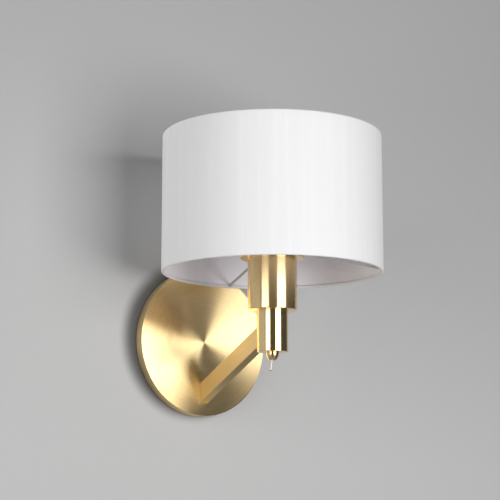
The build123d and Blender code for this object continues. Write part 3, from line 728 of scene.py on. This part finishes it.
def socket_thread(fitting):
    """The socket's shell, a thin tube that is rolled inwards into a thread.

    The roll's depth is half of one less a cosine of the height less the turn, so it climbs by a
    pitch each turn. It fades out straight over an eighth of the height at each end.
    """
    rows = int(shell_height / fitting.socket_pitch * THREAD_ROWS_PER_PITCH)
    turn = np.linspace(0, 2 * np.pi, THREAD_COLUMNS, endpoint=False)
    rise = np.linspace(0, 1, rows)[:, None]
    height = shell_low[2] + shell_height * rise
    wave = 0.5 - 0.5 * np.cos(2 * np.pi * height / fitting.socket_pitch - turn)
    full = np.clip(np.minimum(rise, 1 - rise) * 8, 0, 1)
    outer = shell_radius - fitting.socket_depth * wave * full
    radius = np.concatenate([outer, (outer - fitting.socket_wall)[::-1]])
    heights = np.concatenate([height, height[::-1]])
    return surface("socket_thread", about_lamp(radius, heights, turn), close_rows=True)


class WALLLIGHT_OT_lampholder(bpy.types.Operator):
    """Make the socket's rolled thread and finish the lampholder"""

    bl_idname = "wall_light.lampholder"
    bl_label = "Lampholder"

    def execute(self, context):
        fitting = context.scene.wall_light_fitting
        thread = socket_thread(fitting)
        nickel = plated_material("bright_nickel", fitting.nickel, roughness=0.22, mottle=0.4)
        thread.data.materials.append(nickel)
        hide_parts("screw_shell")
        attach(thread, "wall_light")
        dress(nickel, "switch_bushing", "switch_nut")
        copper = plated_material("tinned_copper", fitting.copper, roughness=0.3, mottle=0.8)
        dress(copper, "centre_contact", "holder_terminals")
        holder = moulded_material("holder_plastic", fitting.holder, roughness=0.3)
        dress(holder, "lampholder_base", "lampholder_body")
        ring = moulded_material("shade_ring_plastic", fitting.shade_ring, roughness=0.35)
        dress(ring, "shade_ring")
        return {"FINISHED"}


class WALLLIGHT_OT_switch(bpy.types.Operator):
    """Finish the toggle lever and the switch behind it"""

    bl_idname = "wall_light.switch"
    bl_label = "Switch"

    def execute(self, context):
        fitting = context.scene.wall_light_fitting
        material, tree, shader, place = new_material("polished_lever", {"Metallic": 1.0})
        # The lever's tip is painted dark, a painted reflection of the dark below its end face; it
        # fades out between two heights above the lever's end
        height = split(tree, place)["Z"]
        bright = spread(tree, height, lever_end + 0.5 * MM, lever_end + 1.1 * MM)
        base = tint(tree, bright, opaque(fitting.lever_painted_reflection), opaque(fitting.lever))
        clouds = handling_marks(tree, place, scale=300.0, amount=0.1)
        finish_look(tree, shader, base, maths(tree, "ADD", clouds, 0.34))
        dress(material, "toggle_lever")
        plastic = moulded_material("switch_plastic", fitting.switch_body, roughness=0.4)
        dress(plastic, "switch_body")
        dress(bpy.data.materials["tinned_copper"], "switch_blades")
        return {"FINISHED"}


# ---- Behind the plate ---------------------------------------------------------------------


def lead_material(name, rgb):
    """Soft glossy insulation."""
    return moulded_material(name, rgb, roughness=0.28, depth=0.004 * MM)


class WALLLIGHT_OT_wiring(bpy.types.Operator):
    """Finish the bracket, the terminal block, the fixings and the leads"""

    bl_idname = "wall_light.wiring"
    bl_label = "Bracket and wiring"

    def execute(self, context):
        fitting = context.scene.wall_light_fitting
        zinc = plated_material("zinc_plate", fitting.zinc, roughness=0.34, mottle=0.5)
        dress(
            zinc, "wall_bracket", "plate_grub_screws", "earth_screw", "block_screws", "arm_stud",
            "arm_washer", "arm_nut", "housing_cap", "nipple", "nipple_locknut",
        )
        dress(bpy.data.materials["tinned_copper"], "earth_tag")
        block = moulded_material("block_plastic", fitting.block, roughness=0.45)
        dress(block, "terminal_block")
        dress(lead_material("brown_lead", fitting.live), "live_lead", "switched_lead")
        dress(lead_material("blue_lead", fitting.neutral), "neutral_lead")

        # The stripe runs along the side of the earth lead that faces right and up
        material, tree, shader, place = new_material("striped_lead", {"Specular IOR Level": 0.5})
        facing = split(tree, add(tree, "ShaderNodeNewGeometry").outputs["Normal"])
        stripe = spread(tree, maths(tree, "ADD", facing["X"], facing["Z"]), 0.12, 0.22)
        base = tint(tree, stripe, opaque(fitting.earth), opaque(fitting.earth_stripe))
        clouds = handling_marks(tree, place, scale=200.0, amount=0.2)
        finish_look(tree, shader, base, maths(tree, "ADD", clouds, 0.3))
        dress(material, "earth_lead")
        return {"FINISHED"}


# ---- Stage --------------------------------------------------------------------------------

STAGE_REACH = 4.0  # metres from the middle of the wall or floor to its edges
WALL_GAP = 0.4 * MM  # between the wall and the light's back, so that no two faces lie together
FLAG_GAP = 2.0 * MM  # between the wall's place and the dark card before it
# The painted light and shade's fade on the wall ends this many times as far out as the light does
PAINTED_FADE_REACH = 1.6  # the wall's fade ends this many times as far out as the light does


def wall_painted_light(tree, place, stage):
    """How light the wall's paint is at each place: painted light and shade in a fade upwards, and
    painted shadow in a soft dark disc.

    The disc is a smooth step of the distance from a centre that lies beside the plate's.
    """
    # Painted light and shade: a fade from a lighter foot to a darker head
    fade = spread(
        tree, split(tree, place)["Z"], PAINTED_FADE_REACH * plate_foot, PAINTED_FADE_REACH * fabric_high[2],
        stage.painted_light_foot, stage.painted_shade_head,
    )
    # Painted shadow: the wall is painted darker in a soft disc beside the plate
    painted_shadow_middle = (stage.painted_shadow_aside, 0.0, stage.painted_shadow_rise)
    away = vectors(tree, "LENGTH", vectors(tree, "SUBTRACT", place, painted_shadow_middle))
    disc = spread(tree, away, stage.painted_shadow_core, stage.painted_shadow_edge, stage.painted_shadow_gain, 1.0, "SMOOTHSTEP")
    return maths(tree, "MULTIPLY", fade, disc)


def stage_sheet(name, centre, across, up, rgb, roughness, gain=None):
    """Flat sheet that is seen from its front only, because its back is clear.

    Its corners are the centre plus or minus across and plus or minus up. A gain is a function that
    gives how light the sheet is painted at each place, as painted light and shade.
    """
    side = np.array([-1.0, 1.0])[:, None]
    points = np.array(centre) + side[:, None] * np.array(across) + side * np.array(up)
    sheet = surface(name, points, close_columns=False)
    material, tree, shader, place = new_material(name, {"Specular IOR Level": 0.2})
    grain = noise(tree, place, 120.0, detail=4.0, roughness=0.6)
    base = tint(tree, grain, opaque(rgb, 0.985), opaque(rgb, 1.015))
    if gain:
        # The gain paints light and shade into the sheet's colour
        light = gain(tree, place)
        base = vectors(tree, "MULTIPLY", base, combine(tree, light, light, light))
    finish_look(tree, shader, base, roughness, grain, 0.05 * MM)
    clear = add(tree, "ShaderNodeBsdfTransparent").outputs[0]
    behind = add(tree, "ShaderNodeNewGeometry").outputs["Backfacing"]
    both = add(tree, "ShaderNodeMixShader", {0: behind, 1: shader.outputs[0], 2: clear}).outputs[0]
    tree.links.new(both, tree.nodes["Material Output"].inputs["Surface"])
    sheet.data.materials.append(material)
    sheet.visible_shadow = False
    return sheet


def softbox(name, watts, turn, rise, distance, width, tall):
    """Rectangular lamp aimed at the lamp's axis, from a turn and a rise in degrees.

    The turn is to the right of straight in front of the wall.
    """
    turn, rise = math.radians(turn), math.radians(rise)
    level = math.cos(rise)
    way = Vector((math.sin(turn) * level, -math.cos(turn) * level, math.sin(rise)))
    light = bpy.data.lights.new(name, "AREA")
    light.shape = "RECTANGLE"
    light.size, light.size_y, light.energy = width, tall, watts
    made = bpy.data.objects.new(name, light)
    made.location = Vector(lamp_axis) + way * distance
    made.rotation_euler = way.to_track_quat("Z", "Y").to_euler()
    bpy.context.scene.collection.objects.link(made)


class WALLLIGHT_OT_stage(bpy.types.Operator):
    """Make the wall, the floor, the lights and the camera"""

    bl_idname = "wall_light.stage"
    bl_label = "Stage"

    def execute(self, context):
        stage = context.scene.wall_light_stage
        right, back, up = (STAGE_REACH, 0, 0), (0, STAGE_REACH, 0), (0, 0, STAGE_REACH)
        stage_sheet(
            "stage_wall", (0, WALL_GAP, stage.floor_height + STAGE_REACH), right, up,
            stage.wall, roughness=0.8, gain=lambda tree, place: wall_painted_light(tree, place, stage),
        )
        floor_middle = (0, 0, stage.floor_height)
        stage_sheet("stage_floor", floor_middle, right, back, stage.floor, roughness=0.7)
        flag = stage_sheet(
            "dark_flag", (stage.flag_aside, -FLAG_GAP, plate_foot - stage.flag_drop),
            (stage.flag_width / 2, 0, 0), (0, 0, stage.flag_height / 2),
            stage.flag, roughness=0.9,
        )
        flag.visible_camera = flag.visible_diffuse = False
        softbox(
            "front_softbox", stage.front_power,
            turn=7.0, rise=-3.0, distance=1.5, width=1.05, tall=0.95,
        )
        softbox(
            "side_softbox", stage.side_power,
            turn=-70.0, rise=2.0, distance=1.5, width=0.86, tall=1.2,
        )
        softbox(
            "back_softbox", stage.back_power,
            turn=180.0, rise=40.0, distance=1.8, width=1.6, tall=1.2,
        )
        world = bpy.data.worlds.new("room")
        world.use_nodes = True
        background = world.node_tree.nodes["Background"].inputs
        background["Color"].default_value = (1.0, 1.0, 1.0, 1.0)
        background["Strength"].default_value = stage.room_light
        context.scene.world = world
        context.scene.view_settings.view_transform = "Standard"
        self.place_camera(context.scene, stage)
        return {"FINISHED"}

    def place_camera(self, scene, stage):
        """Camera at its place, turned right, pitched up and leaned, looking along its own -Z."""
        turn, pitch, lean = stage.camera_turn, stage.camera_pitch, stage.camera_roll
        level = math.cos(pitch)
        forward = Vector((math.sin(turn) * level, math.cos(turn) * level, math.sin(pitch)))
        sideways = Vector((math.cos(turn), -math.sin(turn), 0.0))
        upright = sideways.cross(forward)
        right = math.cos(lean) * sideways + math.sin(lean) * upright
        up = math.cos(lean) * upright - math.sin(lean) * sideways
        data = bpy.data.cameras.new("camera")
        data.lens, data.clip_start, data.clip_end = stage.lens, 0.01, 50.0
        camera = bpy.data.objects.new("camera", data)
        axes = Matrix((right, up, -forward)).transposed().to_4x4()
        camera.matrix_world = Matrix.Translation(stage.camera_place) @ axes
        scene.collection.objects.link(camera)
        scene.camera = camera


# ---- Panel and registration ---------------------------------------------------------------

OPERATORS = (
    WALLLIGHT_OT_brass,
    WALLLIGHT_OT_cloth,
    WALLLIGHT_OT_lining,
    WALLLIGHT_OT_lampholder,
    WALLLIGHT_OT_switch,
    WALLLIGHT_OT_wiring,
    WALLLIGHT_OT_stage,
)

SETTINGS = {
    "wall_light_brass": BrassSettings,
    "wall_light_shade": ShadeSettings,
    "wall_light_fitting": FittingSettings,
    "wall_light_stage": StageSettings,
}


class WALLLIGHT_PT_panel(bpy.types.Panel):
    """Sizes, colours and steps of the wall light"""

    bl_idname = "WALLLIGHT_PT_panel"
    bl_label = "Wall Light"
    bl_space_type = "VIEW_3D"
    bl_region_type = "UI"
    bl_category = "Wall Light"

    def draw(self, context):
        for name, settings in SETTINGS.items():
            box = self.layout.box()
            for field in settings.__annotations__:
                box.prop(getattr(context.scene, name), field)
        for operator in OPERATORS:
            self.layout.operator(operator.bl_idname)


def register():
    """Registers the settings, the operators and the panel."""
    for name, settings in SETTINGS.items():
        bpy.utils.register_class(settings)
        setattr(bpy.types.Scene, name, bpy.props.PointerProperty(type=settings))
    for operator in OPERATORS:
        bpy.utils.register_class(operator)
    bpy.utils.register_class(WALLLIGHT_PT_panel)


def unregister():
    """Takes the panel, the operators and the settings away again."""
    bpy.utils.unregister_class(WALLLIGHT_PT_panel)
    for operator in reversed(OPERATORS):
        bpy.utils.unregister_class(operator)
    for name, settings in reversed(SETTINGS.items()):
        delattr(bpy.types.Scene, name)
        bpy.utils.unregister_class(settings)


def main():
    """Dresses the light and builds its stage."""
    register()
    make_brushed_lines()
    make_handling_marks()
    make_woven_cloth()
    make_moulded_grain()
    for operator in OPERATORS:
        group, name = operator.bl_idname.split(".")
        getattr(getattr(bpy.ops, group), name)()


if __name__ == "__main__":
    main()
